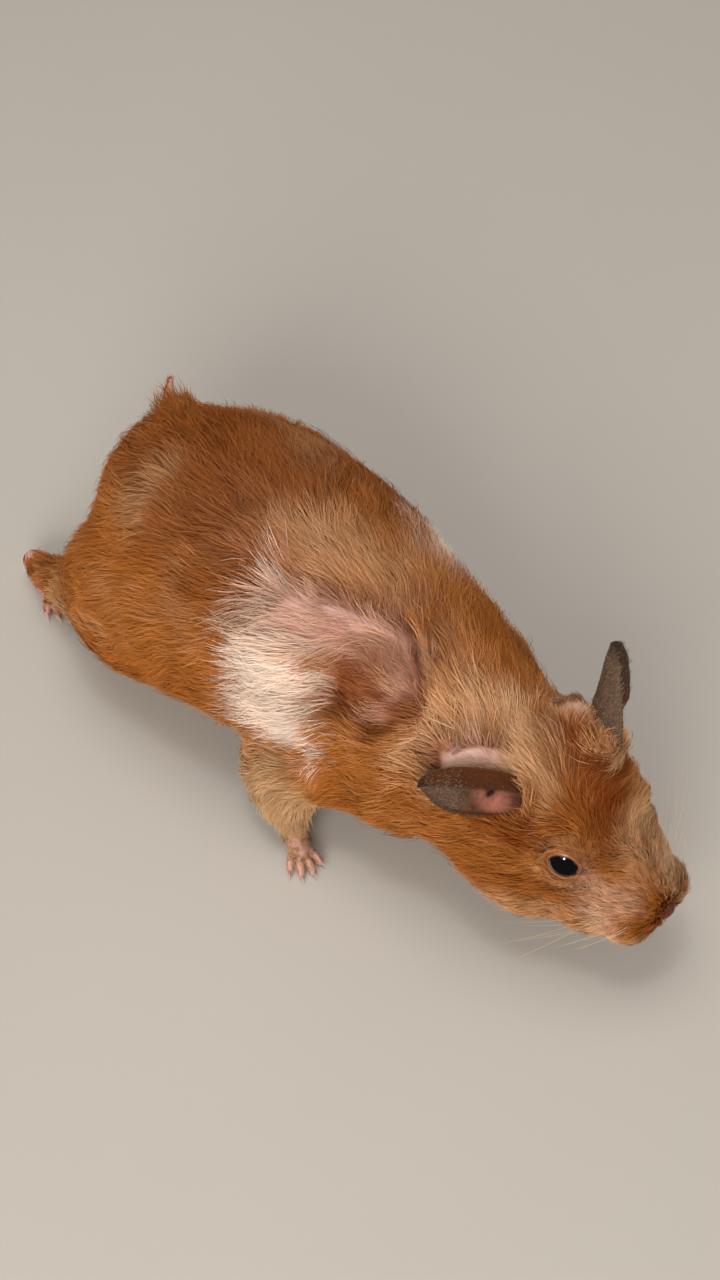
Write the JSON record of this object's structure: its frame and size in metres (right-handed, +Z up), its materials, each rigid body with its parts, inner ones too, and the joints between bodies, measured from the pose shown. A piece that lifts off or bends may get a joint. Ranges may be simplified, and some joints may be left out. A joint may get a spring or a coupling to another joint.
{
  "type": "syrian hamster",
  "caption": "Life-size golden hamster standing on all fours and stretched forward, with a pale band on one flank, one ear raised and the other laid back.",
  "frame": {"origin": "middle of the bounding box at the level of the soles", "axes": "+X forward along the body towards the nose, +Y to the animal's left, +Z up"},
  "size_m": [0.1468, 0.0622, 0.0563],
  "materials": {
    "coat": "soft fur in golden orange, lying back along the body",
    "muzzle_coat": "very short thin fur with pink skin showing through",
    "bare_skin": "bare pink skin, finely wrinkled",
    "ear_skin": "thin dark grey skin with a fine down",
    "eye": "wet black gloss"
  },
  "bodies": {
    "root": {"ear_left": "ear_skin", "ear_right": "ear_skin", "eye_left": "eye", "eye_right": "eye", "foreleg_left": "coat", "foreleg_right": "coat", "forepaw_left": "bare_skin", "forepaw_right": "bare_skin", "head": "coat", "hindfoot_left": "bare_skin", "hindfoot_right": "bare_skin", "hindleg_left": "coat", "hindleg_right": "coat", "muzzle": "muzzle_coat", "neck": "coat", "nose": "bare_skin", "rump": "coat", "tail": "bare_skin", "trunk": "coat"}
  },
  "joints": []
}
